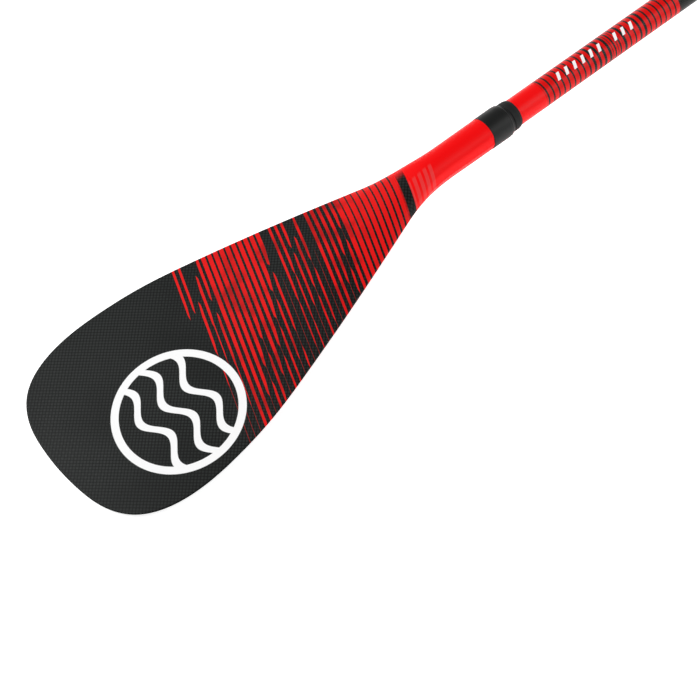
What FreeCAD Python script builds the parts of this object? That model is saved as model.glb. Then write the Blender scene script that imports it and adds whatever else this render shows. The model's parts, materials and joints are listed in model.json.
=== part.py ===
import FreeCAD, Part
import os
from math import atan2, cos, degrees, pi, radians, sin, tan

# A stand-up paddle: one blade, an adjustable two-tube shaft and a T-grip.
# It is modelled with the main shaft along X, the handle towards +X and the blade's
# power face towards +Z, then laid on its blade tip and its grip at the end.

Vec = FreeCAD.Vector
X_AXIS = Vec(1, 0, 0)
Y_AXIS = Vec(0, 1, 0)
Z_AXIS = Vec(0, 0, 1)

# Tubes, all radii in millimetres. x = 0 is where the blade's neck ends.
FIT = 0.05
SHAFT_R = 14.5
SHAFT_BORE = 13.05
EXTENSION_R = SHAFT_BORE - FIT
EXTENSION_BORE = 11.8
SHAFT_START = -66.0
SHAFT_END = 770.0
EXTENSION_START = 430.0
EXTENSION_END = 1240.0
GRIP_TOP = 1318.0

# Sizes that only have to be large enough.
WELL_CLEAR = 130.0
HALF_SPACE = 90.0

# Blade: outline as (distance from the tip, half width), then thickness and angle.
TIP_X = -529.4
TIP_OUTLINE = [(1.7, 30), (8.2, 60), (23.8, 85)]
BLADE_OUTLINE = [(80.4, 107.1), (125.1, 106.4), (174.2, 99.4), (223.4, 86.9), (277, 71.1),
                 (330.6, 54.1), (384.2, 36.2)]
NECK_OUTLINE = [(446.7, 18.8), (461.4, 17.2), (489.4, 16.8), (529.4, 17.05)]
CLEAR_OF_NECK = [(430, 33), (540, 32)]
WIDEST = 95.0
STATIONS = [-8, 12, 34, 58] + [82 + 24 * step for step in range(14)] + [412, 426, 438, 447, 454, 460.4]
STATIONS += [470, 485, 505, 529.4]
POINTS_ACROSS = 25
TRIM_MARGIN = 8.0
TRIM_START, TRIM_LENGTH = 300.0, 110.0
BEND_X = -82.7
BEND_ANGLE = radians(6.1)
BEND_HALF_LENGTH = 12.0
TIP_DROOP = 6.4
EDGE_HALF = 1.0
EVEN_RISE = 3.0
LATE_RISE_POWER = 3.4
ROUND_POWER, FLATTER_POWER = 0.5, 0.9
ROUND_START, ROUND_LENGTH = 440.0, 110.0
NECK_R = 17.0
NECK_BORE = 16.0
NECK_BORE_END = -70.0
HOLLOW_R = 15.0
HOLLOW_END = -69.0
HOLLOW_ROUND_START, HOLLOW_ROUND_LENGTH = 395.0, 55.0
SKIN = 1.0
SOLID_EDGE = 5.0
CORE_EDGE_HALF = 0.25
FOAM_END = -76.0

# Collar, stop ring and snap button.
COLLAR_R = 17.65
COLLAR_END = 29.6
COLLAR_STEP = 27.0
COLLAR_NOSE_R = 16.1
COLLAR_ROUND = 1.2
NECK_TUBE_END = 24.0
STOP_RING_START = 30.0
STOP_RING_END = 40.0
STOP_RING_R = 16.0
STOP_RING_CHAMFER = 1.0
PLUG_LENGTH = 10.0
BUTTON_X = 14.0
BUTTON_R = 4.0
BUTTON_TIP = 19.1
BUTTON_DOME = 1.8
COLLAR_HOLE_R = BUTTON_R + 0.3
SHAFT_HOLE_R = BUTTON_R + 0.15
BUTTON_FLANGE_R = 5.5
BUTTON_FLANGE_TOP = 11.7
BUTTON_FLANGE_THICKNESS = 1.0

# Snap spring: a V of flat spring steel.
SPRING_WIDTH = 8.0
SPRING_THICKNESS = 0.8
SPRING_BEND_X = -38.0
SPRING_BEND_R = 7.0
SPRING_UPPER_LEG, SPRING_UPPER_ANGLE = 52.0, radians(5.4)
SPRING_LOWER_LEG, SPRING_LOWER_ANGLE = 56.0, radians(3.25)

# Lever clamp at the top of the main shaft.
CLAMP_START = 742.0
CLAMP_END = 802.0
CLAMP_R = 18.2
CLAMP_LIP = 2.0
CLAMP_ROUND = 1.2
CLAMP_THROAT_R = EXTENSION_R + 0.3
SLIT_HALF = 1.5
SLIT_START = SHAFT_END - 4.0
SLIT_INNER_END = -10.0
SLEEVE_SLIT_HALF = 1.0
EAR_START, EAR_END = 774.0, 798.0
EAR_OUT = 30.0
EAR_ROOT = -12.0
EAR_HALF_HEIGHT = 7.0
EAR_ROUND = 5.0
BOLT_X = 0.5 * (EAR_START + EAR_END)
BOLT_Y = -24.0
BOLT_R = 2.5
BOLT_HOLE_R = 2.6
BOLT_END = -13.0
PIN_Z = 12.7
PIN_R = 2.0
EYE_R = 4.2
EYE_HALF = 3.0
WASHER_THICKNESS = 1.0
LEVER_HUB_R = 4.5
LEVER_INNER_R, LEVER_OUTER_R = 18.8, 22.0
LEVER_FIRST_ANGLE, LEVER_LAST_ANGLE = 22.0, 150.0
LEVER_START, LEVER_END = 775.0, 797.0
LEVER_WEB = [(BOLT_Y, PIN_Z + LEVER_HUB_R), (-11.0, 19.05), (-9.4, 16.3), (-18.0, 9.6), (BOLT_Y, PIN_Z)]
LEVER_TAB_LOW, LEVER_TAB_HIGH, LEVER_TAB_OUT = -2.6, 1.5, 2.4
EYE_SLOT_GAP = 0.4
EYE_SLOT_END = 4.8
EYE_SLOT_LOW, EYE_SLOT_TOP = 5.0, 20.0
PIN_PROUD = 0.8
NUT_R = 4.6
NUT_HEIGHT = 4.0

# T-grip.
BAR_X = 1300.0
BAR_HALF_HEIGHT = 16.8
BAR_HALF_DEPTH = 13.5
BAR_SECTIONS = [(0, 1.0), (12, 1.0), (24, 1.0), (34, 0.98), (44, 0.9), (50, 0.76), (54, 0.5)]
BAR_END_SWEEP = 4.0
STEM_START = 1226.0
STEM_SECTIONS = [(1226.0, 14.8, 14.8), (1246.0, 15.2, 14.4), (1266.0, 18.5, 13.0), (1286.0, 27.0, 12.4)]
GRIP_WALL = 2.6
ELLIPSE_POINTS = 24
HOLLOW_CLEARANCE = 4.0
PAD_THICKNESS = 1.2
PAD_HALF_LENGTH = 40.0
PAD_SETBACK = 9.5
SPIGOT_START = 1188.0
SPIGOT_END = 1272.0
RIVET_X = [1200.0, 1216.0]
RIVET_R = 2.0
RIVET_HEAD_R, RIVET_HEAD_DEPTH = 3.4, 2.2

# Guide bush in the lower end of the extension.
BUSH_HEAD = 6.0
BUSH_STEM = 24.0
BUSH_WALL = 3.0
BUSH_RECESS_START = -2.0


def smooth(t):
    t = min(max(t, 0.0), 1.0)
    return t * t * (3 - 2 * t)


def rod(radius, start, end):
    return Part.makeCylinder(radius, end - start, Vec(start, 0, 0), X_AXIS)


def tube(outer, inner, start, end):
    return rod(outer, start, end).cut(rod(inner, start, end))


def block(low, high):
    size = [b - a for a, b in zip(low, high)]
    return Part.makeBox(size[0], size[1], size[2], Vec(*low))


# ---- Blade ----

def centre_height(x):
    """Height of the blade's middle surface: straight neck, short bend, then a slight droop."""
    run = BEND_X - x
    if run <= -BEND_HALF_LENGTH:
        return 0.0
    if run < BEND_HALF_LENGTH:
        drop = tan(BEND_ANGLE) * (run + BEND_HALF_LENGTH) ** 2 / (4 * BEND_HALF_LENGTH)
    else:
        drop = tan(BEND_ANGLE) * run
    return -drop - TIP_DROOP * (max(run, 0.0) / (BEND_X - TIP_X)) ** 2


def half_thickness(from_tip):
    share = min(max(from_tip / (BEND_X - TIP_X), 0.0), 1.0)
    return EDGE_HALF + EVEN_RISE * share + (NECK_R - EDGE_HALF - EVEN_RISE) * share ** LATE_RISE_POWER


def crown_power(from_tip):
    """0.5 gives the round neck, larger values the flat-edged blade."""
    return ROUND_POWER + FLATTER_POWER * smooth((ROUND_START - from_tip) / ROUND_LENGTH)


def spline(places, parameters=None):
    curve = Part.BSplineCurve()
    if parameters:
        curve.interpolate(Points=places, Parameters=parameters)
    else:
        curve.interpolate(Points=places)
    return curve


def side_curve():
    return spline([Vec(a, b, 0) for a, b in TIP_OUTLINE[-1:] + BLADE_OUTLINE + NECK_OUTLINE])


def half_width(curve, from_tip):
    """The side's distance from the middle, no less than the blade's widest near the tip."""
    wanted = max(from_tip, WIDEST)
    low, high = curve.FirstParameter, curve.LastParameter
    while high - low > 1e-12 * high:
        middle = 0.5 * (low + high)
        if curve.value(middle).x < wanted:
            low = middle
        else:
            high = middle
    return curve.value(low).y


def trimming_prism(inset):
    """A tall prism with the blade's outline, or one inside it, that stays clear of the neck."""
    side = TIP_OUTLINE + BLADE_OUTLINE + CLEAR_OF_NECK
    length = CLEAR_OF_NECK[-1][0]
    right = [Vec(TIP_X + a + inset * (1 - a / length), b - inset, -HALF_SPACE) for a, b in side]
    left = [Vec(place.x, -place.y, place.z) for place in reversed(right)]
    rim = spline(left + [Vec(TIP_X + inset, 0, -HALF_SPACE)] + right)
    end = Part.makeLine(right[-1], left[0])
    return Part.Face(Part.Wire([rim.toShape(), end])).extrude(Z_AXIS * (2 * HALF_SPACE))


def trimmed_width(side, station):
    """Half the width of a section, which reaches past the outline where that trims it."""
    shrink = smooth((station - TRIM_START) / TRIM_LENGTH)
    return half_width(side, station) + TRIM_MARGIN * (1 - shrink)


def blade_surfaces(ends_at, inset):
    """The power face, the middle surface and the back, or, with inset, those of the foam.

    Near the tip they reach past the outline, and are trimmed later."""
    angles = [pi * (step / (POINTS_ACROSS - 1) - 0.5) for step in range(POINTS_ACROSS)]
    along = [station for station in STATIONS if TIP_X + station <= ends_at + FIT]
    side = side_curve()
    grids = ([], [], [])
    for station in along:
        x = TIP_X + station
        neck = smooth((station - HOLLOW_ROUND_START) / HOLLOW_ROUND_LENGTH)
        width = trimmed_width(side, station)
        rise = half_thickness(station)
        edge = EDGE_HALF
        if inset:
            width -= SOLID_EDGE * (1 - neck) + (width - HOLLOW_R) * neck
            rise -= SKIN * (1 - neck) + (rise - HOLLOW_R) * neck
            edge = CORE_EDGE_HALF
            rise = max(rise, edge)
        for grid, side_of_middle in zip(grids, (1, 0, -1)):
            row = []
            for angle in angles:
                lift = edge + (rise - edge) * cos(angle) ** (2 * crown_power(station))
                row.append(Vec(x, width * sin(angle), centre_height(x) + side_of_middle * lift))
            grid.append(row)
    return [spline_surface(grid, along, angles) for grid in grids]


def spline_surface(grid, along, across):
    """The smooth surface through a grid of points, with one parameter for each row and column."""
    rows = [spline(row, across) for row in grid]
    columns = [spline([row.getPole(k + 1) for row in rows], along) for k in range(rows[0].NbPoles)]
    poles = [[column.getPole(k + 1) for column in columns] for k in range(columns[0].NbPoles)]
    surface = Part.BSplineSurface()
    surface.buildFromPolesMultsKnots(poles, columns[0].getMultiplicities(), rows[0].getMultiplicities(),
                                     columns[0].getKnots(), rows[0].getKnots(), False, False, 3, 3)
    return surface


def solid_between(upper, lower):
    """The closed solid between two surfaces, with ruled sides."""
    faces = [upper.toShape(), lower.toShape()]
    u0, u1, v0, v1 = upper.bounds()
    rims = [[s.uIso(u0), s.uIso(u1), s.vIso(v0), s.vIso(v1)] for s in (upper, lower)]
    for upper_rim, lower_rim in zip(*rims):
        faces.append(Part.makeRuledSurface(upper_rim.toShape(), lower_rim.toShape()))
    sewn = Part.Compound(faces)
    sewn.sewShape()
    solid = Part.Solid(Part.Shell(sewn.Faces))
    if solid.Volume < 0:
        solid.reverse()
    return solid


def make_blade():
    power_face, middle, back = blade_surfaces(0.0, False)
    foam_top, _, foam_bottom = blade_surfaces(HOLLOW_END, True)
    outline = trimming_prism(0.0)
    hollow = solid_between(foam_top, foam_bottom).common(trimming_prism(SOLID_EDGE))
    socket = rod(NECK_BORE, NECK_BORE_END, 1.0)
    foam_side = block((TIP_X, -WELL_CLEAR, -HALF_SPACE), (FOAM_END, WELL_CLEAR, HALF_SPACE))
    plug_side = block((FOAM_END, -NECK_R, -HALF_SPACE), (NECK_BORE_END, NECK_R, HALF_SPACE))
    return {"blade_power_skin": solid_between(power_face, middle).common(outline).cut(hollow).cut(socket),
            "blade_back_skin": solid_between(middle, back).common(outline).cut(hollow).cut(socket),
            "blade_core": hollow.common(foam_side),
            "neck_plug": hollow.common(plug_side)}


def button_hole(radius):
    """The drill for the snap button's hole in the underside."""
    return Part.makeCylinder(radius, HALF_SPACE, Vec(BUTTON_X, 0, -HALF_SPACE), Z_AXIS)


def round_edges_at(solid, x):
    """The circular edges round the shaft's axis at one place along it."""
    return [edge for edge in solid.Edges if edge.Closed and abs(edge.CenterOfMass.x - x) < FIT]


def make_neck_fittings():
    hole = button_hole(COLLAR_HOLE_R)
    bore = SHAFT_R + FIT
    sleeve = rod(COLLAR_R, 0.0, COLLAR_STEP)
    shoulder = round_edges_at(sleeve, COLLAR_STEP)
    collar = sleeve.makeFillet(COLLAR_ROUND, shoulder).fuse(rod(COLLAR_NOSE_R, 0.0, COLLAR_END))
    collar = collar.cut(rod(NECK_BORE, 0.0, NECK_TUBE_END)).cut(rod(bore, 0.0, COLLAR_END))
    return {"neck_tube": tube(NECK_BORE, bore, NECK_BORE_END, NECK_TUBE_END).cut(hole),
            "neck_collar": collar.cut(hole)}


# ---- Main shaft and its snap lock ----

def make_shaft():
    ring = rod(STOP_RING_R, STOP_RING_START, STOP_RING_END)
    ring = ring.makeChamfer(STOP_RING_CHAMFER, round_edges_at(ring, STOP_RING_END))
    shaft = tube(SHAFT_R, SHAFT_BORE, SHAFT_START, SHAFT_END)
    return {"main_shaft": shaft.cut(button_hole(SHAFT_HOLE_R)),
            "shaft_plug": rod(SHAFT_BORE, SHAFT_START, SHAFT_START + PLUG_LENGTH),
            "stop_ring": ring.cut(rod(SHAFT_R, STOP_RING_START, STOP_RING_END))}


def make_snap_button():
    height = BUTTON_TIP - BUTTON_FLANGE_TOP
    stem = Part.makeCylinder(BUTTON_R, height, Vec(BUTTON_X, 0, -BUTTON_TIP), Z_AXIS)
    tip_edge = [edge for edge in stem.Edges if abs(edge.CenterOfMass.z + BUTTON_TIP) < FIT]
    stem = stem.makeFillet(BUTTON_DOME, tip_edge)
    flange = Part.makeCylinder(BUTTON_FLANGE_R, BUTTON_FLANGE_THICKNESS,
                               Vec(BUTTON_X, 0, -BUTTON_FLANGE_TOP), Z_AXIS)
    return stem.fuse(flange).removeSplitter()


def make_snap_spring():
    """Two leaf legs joined by a round bend, swept from one flat strip."""
    centre = Vec(SPRING_BEND_X, 0, 0)

    def leg(side, length, angle):
        start = centre + Vec(-SPRING_BEND_R * sin(angle), 0, side * SPRING_BEND_R * cos(angle))
        return start, start + Vec(length * cos(angle), 0, side * length * sin(angle))

    upper_start, upper_end = leg(1, SPRING_UPPER_LEG, SPRING_UPPER_ANGLE)
    lower_start, lower_end = leg(-1, SPRING_LOWER_LEG, SPRING_LOWER_ANGLE)
    bend = Part.Arc(upper_start, centre + Vec(-SPRING_BEND_R, 0, 0), lower_start).toShape()
    path = Part.Wire([Part.makeLine(upper_end, upper_start), bend, Part.makeLine(lower_start, lower_end)])
    along = (upper_start - upper_end).normalize()
    across = Y_AXIS * (0.5 * SPRING_WIDTH)
    through = along.cross(Y_AXIS) * (0.5 * SPRING_THICKNESS)
    corners = [upper_end + across + through, upper_end - across + through,
               upper_end - across - through, upper_end + across - through]
    strip = Part.makePolygon(corners + corners[:1])
    return path.makePipeShell([strip], True, False, 1)


# ---- Lever clamp ----

def sector(inner, outer, first, last, start, end):
    """A ring's piece between two angles, counted from +Y towards +Z."""
    def at(radius, angle):
        return Vec(start, radius * cos(radians(angle)), radius * sin(radians(angle)))

    middle = 0.5 * (first + last)
    edges = [Part.Arc(at(outer, first), at(outer, middle), at(outer, last)).toShape(),
             Part.makeLine(at(outer, last), at(inner, last)),
             Part.Arc(at(inner, last), at(inner, middle), at(inner, first)).toShape(),
             Part.makeLine(at(inner, first), at(outer, first))]
    return Part.Face(Part.Wire(edges)).extrude(Vec(end - start, 0, 0))


def make_clamp():
    ears = block((EAR_START, -EAR_OUT, -EAR_HALF_HEIGHT), (EAR_END, EAR_ROOT, EAR_HALF_HEIGHT))
    outer_edges = [edge for edge in ears.Edges if edge.CenterOfMass.y < -EAR_OUT + FIT
                   and abs(edge.CenterOfMass.x - BOLT_X) > SLIT_HALF]
    ears = ears.makeFillet(EAR_ROUND, outer_edges)
    body = rod(CLAMP_R, CLAMP_START, CLAMP_END)
    rims = [edge for edge in body.Edges if edge.Closed]
    body = body.makeFillet(CLAMP_ROUND, rims).fuse(ears)
    body = body.cut(rod(SHAFT_R, CLAMP_START, CLAMP_END - CLAMP_LIP))
    body = body.cut(rod(CLAMP_THROAT_R, CLAMP_START, CLAMP_END))
    slit = block((SLIT_START, -HALF_SPACE, -SLIT_HALF), (CLAMP_END + 1, SLIT_INNER_END, SLIT_HALF))
    bolt_hole = Part.makeCylinder(BOLT_HOLE_R, 2 * HALF_SPACE, Vec(BOLT_X, BOLT_Y, -HALF_SPACE), Z_AXIS)
    sleeve = tube(SHAFT_R, EXTENSION_R + FIT, SHAFT_END, CLAMP_END - CLAMP_LIP)
    sleeve_slit = block((SHAFT_END, -HALF_SPACE, -SLEEVE_SLIT_HALF), (CLAMP_END, 0.0, SLEEVE_SLIT_HALF))
    return {"clamp_body": body.cut(slit).cut(bolt_hole),
            "clamp_sleeve": sleeve.cut(sleeve_slit)}


def pin_rod(radius, proud):
    """A cylinder on the lever's pivot, proud of the lever at both ends."""
    length = LEVER_END - LEVER_START + 2 * proud
    return Part.makeCylinder(radius, length, Vec(LEVER_START - proud, BOLT_Y, PIN_Z), X_AXIS)


def make_clamp_bolt():
    eye = Part.makeCylinder(EYE_R, 2 * EYE_HALF, Vec(BOLT_X - EYE_HALF, BOLT_Y, PIN_Z), X_AXIS)
    shank = Part.makeCylinder(BOLT_R, PIN_Z - BOLT_END, Vec(BOLT_X, BOLT_Y, BOLT_END), Z_AXIS)
    return eye.fuse(shank).cut(pin_rod(PIN_R, 0.0))


def washer(outer, low):
    ring = Part.makeCylinder(outer, WASHER_THICKNESS, Vec(BOLT_X, BOLT_Y, low), Z_AXIS)
    return ring.cut(Part.makeCylinder(BOLT_R, WASHER_THICKNESS, Vec(BOLT_X, BOLT_Y, low), Z_AXIS))


def make_clamp_nut():
    top = -EAR_HALF_HEIGHT - WASHER_THICKNESS
    corners = [Vec(BOLT_X + NUT_R * cos(radians(60 * k)), BOLT_Y + NUT_R * sin(radians(60 * k)), top)
               for k in range(7)]
    nut = Part.Face(Part.makePolygon(corners)).extrude(Vec(0, 0, -NUT_HEIGHT))
    return nut.cut(Part.makeCylinder(BOLT_R, HALF_SPACE, Vec(BOLT_X, BOLT_Y, -HALF_SPACE), Z_AXIS))


def make_lever():
    hub = pin_rod(LEVER_HUB_R, 0.0)
    arm = sector(LEVER_INNER_R, LEVER_OUTER_R, LEVER_FIRST_ANGLE, LEVER_LAST_ANGLE, LEVER_START, LEVER_END)
    web_corners = [Vec(LEVER_START, y, z) for y, z in LEVER_WEB]
    web = Part.Face(Part.makePolygon(web_corners + web_corners[:1]))
    web = web.extrude(X_AXIS * (LEVER_END - LEVER_START))
    tab = block((LEVER_START, LEVER_INNER_R, LEVER_TAB_LOW),
                (LEVER_END, LEVER_OUTER_R + LEVER_TAB_OUT, LEVER_TAB_HIGH))
    tab.rotate(Vec(0, 0, 0), X_AXIS, LEVER_FIRST_ANGLE)
    lever = hub.fuse(arm).fuse(web).fuse(tab).cut(rod(LEVER_INNER_R, LEVER_START, LEVER_END))
    slot_half = EYE_HALF + EYE_SLOT_GAP
    eye_slot = block((BOLT_X - slot_half, -EAR_OUT, EYE_SLOT_LOW),
                     (BOLT_X + slot_half, BOLT_Y + EYE_SLOT_END, EYE_SLOT_TOP))
    return lever.cut(eye_slot).cut(pin_rod(PIN_R + FIT, 0.0)).removeSplitter()


# ---- Extension and T-grip ----

def ellipse_wire(centre, first, second):
    """A closed ellipse with half axes first and second, starting at the first one."""
    places = []
    for step in range(ELLIPSE_POINTS):
        angle = 2 * pi * step / ELLIPSE_POINTS
        places.append(centre + first * cos(angle) + second * sin(angle))
    curve = Part.BSplineCurve()
    curve.interpolate(Points=places, PeriodicFlag=True)
    return Part.Wire(curve.toShape())


def grip_body(grow):
    """The T's outside, grown or shrunk all round."""
    bar = []
    for y, share in [(-a, b) for a, b in reversed(BAR_SECTIONS[1:])] + BAR_SECTIONS:
        reach = BAR_SECTIONS[-1][0]
        centre = Vec(BAR_X - BAR_END_SWEEP * (y / reach) ** 2, y * (reach + grow) / reach, 0)
        bar.append(ellipse_wire(centre, Vec(BAR_HALF_HEIGHT * share + grow, 0, 0),
                                Vec(0, 0, BAR_HALF_DEPTH * share + grow)))
    stem = [ellipse_wire(Vec(x, 0, 0), Vec(0, y + grow, 0), Vec(0, 0, z + grow)) for x, y, z in STEM_SECTIONS]
    return Part.makeLoft(bar, True).fuse(Part.makeLoft(stem, True))


def make_grip():
    outer = grip_body(0.0)
    spigot = rod(EXTENSION_BORE, SPIGOT_START, SPIGOT_END)
    tube_end = rod(EXTENSION_R, STEM_START - 1, EXTENSION_END)
    hollow_zone = block((EXTENSION_END + HOLLOW_CLEARANCE, -HALF_SPACE, -HALF_SPACE),
                        (GRIP_TOP, HALF_SPACE, HALF_SPACE))
    hollow = grip_body(-GRIP_WALL).common(hollow_zone)
    shell = outer.cut(hollow).cut(tube_end).cut(spigot)
    front = block((STEM_START - 1, -HALF_SPACE, 0), (GRIP_TOP + 1, HALF_SPACE, HALF_SPACE))
    pad_zone = block((BAR_X + PAD_SETBACK, -PAD_HALF_LENGTH, -HALF_SPACE),
                     (BAR_X + HALF_SPACE, PAD_HALF_LENGTH, HALF_SPACE))
    rivets = []
    holes = []
    for x in RIVET_X:
        stem = Part.makeCylinder(RIVET_R, 2 * EXTENSION_R, Vec(x, -EXTENSION_R, 0), Y_AXIS)
        holes.append(stem)
        reach = EXTENSION_R - RIVET_HEAD_DEPTH
        heads = [Part.makeSphere(RIVET_HEAD_R, Vec(x, side * reach, 0)) for side in (-1, 1)]
        domes = [head.cut(rod(EXTENSION_R, x - EXTENSION_R, x + EXTENSION_R)) for head in heads]
        rivets.append(stem.fuse(domes).removeSplitter())
    return {"grip_front_shell": shell.common(front),
            "grip_back_shell": shell.cut(front),
            "grip_core": hollow.cut(spigot),
            "grip_pad": grip_body(PAD_THICKNESS).cut(outer).common(pad_zone),
            "handle_spigot": spigot.cut(holes),
            "stem_rivets": Part.Compound(rivets),
            "extension_tube": tube(EXTENSION_R, EXTENSION_BORE, EXTENSION_START, EXTENSION_END).cut(holes)}


def make_guide_bush():
    stem_end = EXTENSION_START + BUSH_STEM
    head = rod(EXTENSION_R, EXTENSION_START - BUSH_HEAD, EXTENSION_START)
    stem = rod(EXTENSION_BORE - FIT, EXTENSION_START, stem_end)
    recess = rod(EXTENSION_BORE - BUSH_WALL, EXTENSION_START + BUSH_RECESS_START, stem_end)
    return head.fuse(stem).cut(recess).removeSplitter()


# ---- Whole paddle ----

def make_all():
    nodes = {}
    nodes.update(make_blade())
    nodes.update(make_neck_fittings())
    nodes.update(make_shaft())
    nodes["snap_button"] = make_snap_button()
    nodes["snap_spring"] = make_snap_spring()
    nodes.update(make_clamp())
    nodes["clamp_bolt"] = make_clamp_bolt()
    washers = [washer(LEVER_HUB_R, low) for low in (EAR_HALF_HEIGHT, -EAR_HALF_HEIGHT - WASHER_THICKNESS)]
    nodes["clamp_washers"] = Part.Compound(washers)
    nodes["clamp_nut"] = make_clamp_nut()
    nodes["lever_pin"] = pin_rod(PIN_R, PIN_PROUD)
    nodes["clamp_lever"] = make_lever()
    nodes["guide_bush"] = make_guide_bush()
    nodes.update(make_grip())
    return nodes


def resting_tilt():
    """The angle about Y that puts the blade's tip and the grip at the same height."""
    tip_low = centre_height(TIP_X) - EDGE_HALF
    return atan2(-BAR_HALF_DEPTH - tip_low, BAR_X - TIP_X)


def place_at_rest(nodes):
    """Lays the paddle down, with the origin under the middle of its bounding box."""
    for shape in nodes.values():
        shape.rotate(Vec(0, 0, 0), Y_AXIS, degrees(resting_tilt()))
    boxes = [nodes[name].optimalBoundingBox() for name in ("blade_back_skin", "grip_pad", "grip_back_shell")]
    low_x = min(box.XMin for box in boxes)
    high_x = max(box.XMax for box in boxes)
    low_z = min(box.ZMin for box in boxes)
    shift = Vec(-0.5 * (low_x + high_x), 0, -low_z)
    for shape in nodes.values():
        shape.translate(shift)
    return shift


NODES = make_all()
SHIFT = place_at_rest(NODES)
os.makedirs("parts", exist_ok=True)
for name, shape in NODES.items():
    shape.exportStep("parts/" + name + ".step")
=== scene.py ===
"""Looks of the single blade paddle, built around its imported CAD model.

Shapes and patterns are given in millimetres in the shaft's own frame: X runs up the shaft from the
blade's neck, Y across the blade, Z out of its power face. Each body carries its pieces.
"""
import json
import math

import bmesh
import bpy
import numpy as np
from mathutils import Matrix, Vector


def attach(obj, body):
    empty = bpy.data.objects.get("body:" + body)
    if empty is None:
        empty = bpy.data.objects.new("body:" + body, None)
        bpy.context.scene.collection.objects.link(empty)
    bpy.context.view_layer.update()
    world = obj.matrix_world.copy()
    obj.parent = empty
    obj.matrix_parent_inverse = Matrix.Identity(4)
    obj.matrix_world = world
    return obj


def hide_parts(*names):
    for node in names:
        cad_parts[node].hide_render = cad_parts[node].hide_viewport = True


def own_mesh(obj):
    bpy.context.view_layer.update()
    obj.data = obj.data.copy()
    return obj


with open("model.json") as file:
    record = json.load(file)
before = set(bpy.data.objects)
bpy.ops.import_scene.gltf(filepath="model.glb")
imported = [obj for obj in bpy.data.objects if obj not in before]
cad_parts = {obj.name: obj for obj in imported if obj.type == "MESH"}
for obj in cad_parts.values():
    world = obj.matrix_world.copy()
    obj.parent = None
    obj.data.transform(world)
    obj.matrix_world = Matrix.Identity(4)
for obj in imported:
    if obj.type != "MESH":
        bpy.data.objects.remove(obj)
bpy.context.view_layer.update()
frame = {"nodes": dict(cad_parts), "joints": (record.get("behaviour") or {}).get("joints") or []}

MM = 0.001
WELD = 0.004
SHARP_ANGLE = 35.0

# ---- The shaft's frame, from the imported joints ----
TWIST_X = 430.0
joints = {joint["name"]: joint for joint in frame["joints"]}
AXIS_X = -Vector(joints["blade_pull"]["axis"])
AXIS_Z = Vector(joints["snap_press"]["axis"])
AXIS_Y = AXIS_Z.cross(AXIS_X)
ORIGIN = Vector(joints["handle_twist"]["pos_m"]) - TWIST_X * MM * AXIS_X
TURN = Matrix((AXIS_X, AXIS_Y, AXIS_Z)).transposed()
SHAFT_FRAME = Matrix.Translation(ORIGIN) @ TURN.to_4x4() @ Matrix.Scale(MM, 4)

# ---- Blade ----
TIP_X = -529.4
TIP_OUTLINE = [(1.7, 30.0), (8.2, 60.0), (23.8, 85.0)]
BLADE_OUTLINE = [(80.4, 107.1), (125.1, 106.4), (174.2, 99.4), (223.4, 86.9), (277.0, 71.1),
                 (330.6, 54.1), (384.2, 36.2)]
NECK_OUTLINE = [(446.7, 18.8), (461.4, 17.2), (489.4, 16.8), (529.4, 17.05)]
WIDEST = 95.0
MARGIN, MARGIN_START, MARGIN_LENGTH = 8.0, 300.0, 110.0
BEND_X = -82.7
BEND_SLOPE = math.tan(math.radians(6.1))
BEND_ROUND = 12.0
BLADE_SAG = 6.4
THIN_END = 446.7
RIM_HALF = 1.0
RIM_ROUND = 1.1
FAN_CENTRE = 66.0
SOCKET_R, SOCKET_LIP, SOCKET_END = 16.0, 0.35, -70.0
OUTLINE_STEPS = 300
RIM_STEPS = np.array([0.0, 0.04, 0.14, 0.32, 0.6, 1.0, 1.6, 2.6])
INNER_STEPS = 26

# ---- Shaft, collar, clamp and grip ----
SHAFT_R, SHAFT_BORE, SHAFT_START, SHAFT_END = 14.5, 13.05, -66.0, 770.0
EXTENSION_R, EXTENSION_BORE, EXTENSION_START, EXTENSION_END = 13.0, 11.8, 430.0, 1240.0
RIVET_X, RIVET_R = (1200.0, 1216.0), 2.0
TUBE_EDGE, TUBE_SIDES = 0.3, 160
BUTTON_X, BUTTON_HOLE_R, SHAFT_HOLE_R = 14.0, 4.3, 4.15
DRILL_CENTRE, DRILL_LENGTH, DRILL_SIDES, DRILL_WELD = 17.0, 30.0, 48, 0.003
# Outlines of turned rings: (place along the shaft, radius, corner radius).
COLLAR_OUTLINE = [(0.0, 16.02, 0.3), (0.0, 17.55, 0.35), (22.5, 17.65, 0.8), (26.2, 17.3, 1.6),
                  (27.4, 16.1, 0.8), (29.6, 15.9, 0.5), (29.6, 14.56, 0.2), (24.0, 14.56, 0.1),
                  (24.0, 16.02, 0.1)]
STOP_OUTLINE = [(30.0, 14.5, 0.1), (30.0, 15.3, 0.5), (30.9, 16.0, 0.6), (36.8, 15.9, 0.8),
                (40.0, 15.0, 0.4), (40.0, 14.5, 0.1)]
CLAMP_SLEEVE_R = 17.6
CLAMP_GROOVES, CLAMP_GROOVE_PITCH, CLAMP_GROOVE_DEPTH = (746.0, 769.0), 3.3, 0.4
LEVER_R, LEVER_MIDDLE, LEVER_HALF_WIDTH = 20.6, 786.0, 11.0
LEVER_BACK, LEVER_CROWN = (20.0, 140.0), 0.9
LEVER_RIBS, LEVER_RIB_STEP, LEVER_RIB_HEIGHT, LEVER_RIBBED_WIDTH = (30.0, 58.0), 7.0, 0.35, 0.75
BAR_X, BAR_REACH, BAR_SWEEP = 1300.0, 55.0, 4.0
BAR_HALF_HEIGHT, BAR_HALF_DEPTH = 16.8, 13.5
BAR_SQUARENESS, BAR_BLUNTNESS, BAR_TIP = 5.0, 0.42, 0.02
BAR_STEPS = 24
SEAM_HEIGHTS, SEAM_DEPTH = (0.05, 0.35, 0.8), 0.5
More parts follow.
